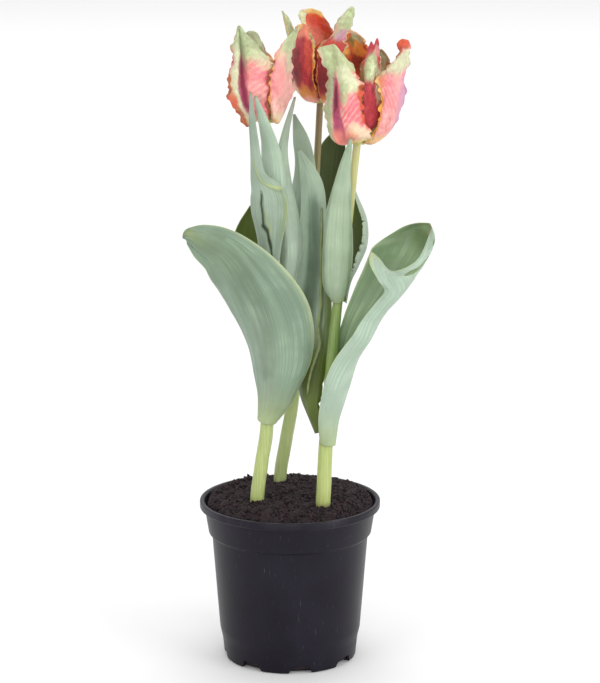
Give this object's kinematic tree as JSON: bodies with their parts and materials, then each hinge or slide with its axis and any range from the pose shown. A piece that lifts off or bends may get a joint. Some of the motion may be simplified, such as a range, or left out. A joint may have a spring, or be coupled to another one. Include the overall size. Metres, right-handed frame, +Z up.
{
  "type": "potted tulip",
  "caption": "Parrot tulips with ruffled flame-coloured blooms and curled grey-green leaves, growing from bulbs in soil in a round black plastic nursery pot.",
  "frame": {"origin": "centre of the pot's flat underside, on its axis", "axes": "+Z up along the pot's axis; -Y is the front, the side that the picture shows; +X is to the right of it"},
  "size_m": [0.1599, 0.1265, 0.4315],
  "materials": {
    "pot": "injection-moulded black polypropylene with a soft satin sheen",
    "soil": "moist crumbly peat-based potting soil",
    "bulb": "papery brown tunic, out of sight in the soil",
    "stem": "smooth waxy pale green plant stem, paler than the leaves",
    "leaf": "grey-green waxy leaf with fine lengthwise veins",
    "outer_tepal": "pink tepal with a cream-green flame, magenta middle and orange ruffled margins",
    "inner_tepal": "orange-red to crimson tepal with a pale green midrib",
    "flower_heart": "yellow-green pistil with dark stamens"
  },
  "bodies": {
    "root": {"pot": "pot", "soil": "soil", "left_bulb": "bulb", "back_bulb": "bulb", "right_bulb": "bulb", "left_stem": "stem", "back_stem": "stem", "right_stem": "stem", "left_broad_leaf": "leaf", "left_shouldered_leaf": "leaf", "left_middle_leaf": "leaf", "left_folded_leaf": "leaf", "back_side_leaf": "leaf", "back_front_leaf": "leaf", "back_dark_leaf": "leaf", "right_trumpet_leaf": "leaf", "right_tall_leaf": "leaf", "right_spindle_leaf": "leaf", "right_wrapping_leaf": "leaf", "left_flower_heart": "flower_heart", "left_outer_tepal_1": "outer_tepal", "left_outer_tepal_2": "outer_tepal", "left_outer_tepal_3": "outer_tepal", "left_inner_tepal_1": "inner_tepal", "left_inner_tepal_2": "inner_tepal", "left_inner_tepal_3": "inner_tepal", "back_flower_heart": "flower_heart", "back_outer_tepal_1": "outer_tepal", "back_outer_tepal_2": "outer_tepal", "back_outer_tepal_3": "outer_tepal", "back_inner_tepal_1": "inner_tepal", "back_inner_tepal_2": "inner_tepal", "back_inner_tepal_3": "inner_tepal", "right_flower_heart": "flower_heart", "right_outer_tepal_1": "outer_tepal", "right_outer_tepal_2": "outer_tepal", "right_outer_tepal_3": "outer_tepal", "right_inner_tepal_1": "inner_tepal", "right_inner_tepal_2": "inner_tepal", "right_inner_tepal_3": "inner_tepal"}
  },
  "joints": []
}
